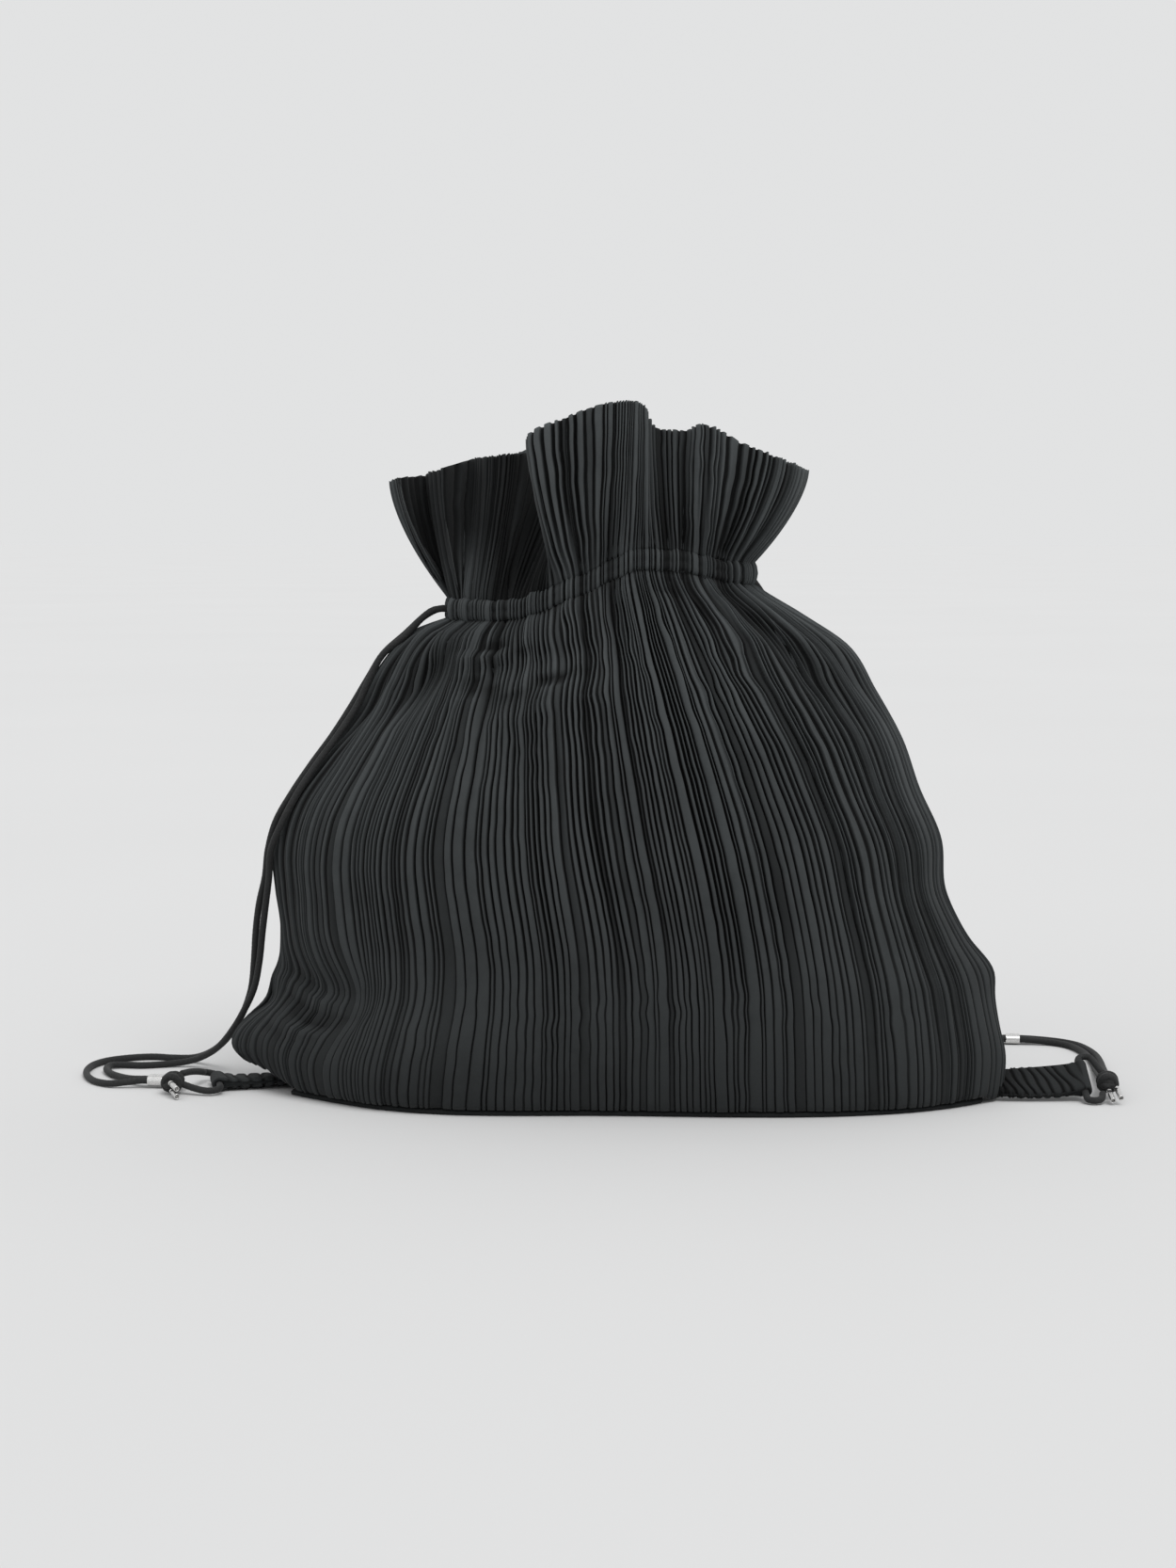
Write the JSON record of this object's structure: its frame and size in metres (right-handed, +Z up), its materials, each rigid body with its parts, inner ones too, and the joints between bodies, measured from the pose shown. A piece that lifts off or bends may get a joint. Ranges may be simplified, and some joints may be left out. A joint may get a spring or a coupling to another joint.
{
  "type": "drawstring backpack",
  "caption": "Soft backpack of finely pleated cloth with a ruffled collar, a puckered drawstring channel, braided shoulder cords and corner tabs.",
  "frame": {"origin": "on the floor under the middle of the flat base panel", "axes": "+Z up from the floor, +X to the right as seen from the front, -Y out of the front"},
  "size_m": [0.6251, 0.2676, 0.4007],
  "materials": {
    "pleated_cloth": "matt, finely pleated",
    "base_cloth": "smooth, matt",
    "cord_braid": "round braid",
    "bright_metal": "polished silver"
  },
  "bodies": {
    "root": {"pleated_body": "pleated_cloth", "base_panel": "base_cloth", "drawstring_channel": "pleated_cloth", "frill_collar": "pleated_cloth", "tab_left": "pleated_cloth", "tab_right": "pleated_cloth", "crimp_left": "bright_metal", "crimp_right": "bright_metal", "knot_left": "cord_braid", "knot_right": "cord_braid", "cord_left_outer": "cord_braid", "cord_left_inner": "cord_braid", "cord_right_outer": "cord_braid", "cord_right_inner": "cord_braid", "cord_left_loop": "cord_braid", "cord_right_loop": "cord_braid", "aglet_left_a": "bright_metal", "aglet_left_b": "bright_metal", "aglet_right_a": "bright_metal", "aglet_right_b": "bright_metal"}
  },
  "joints": []
}
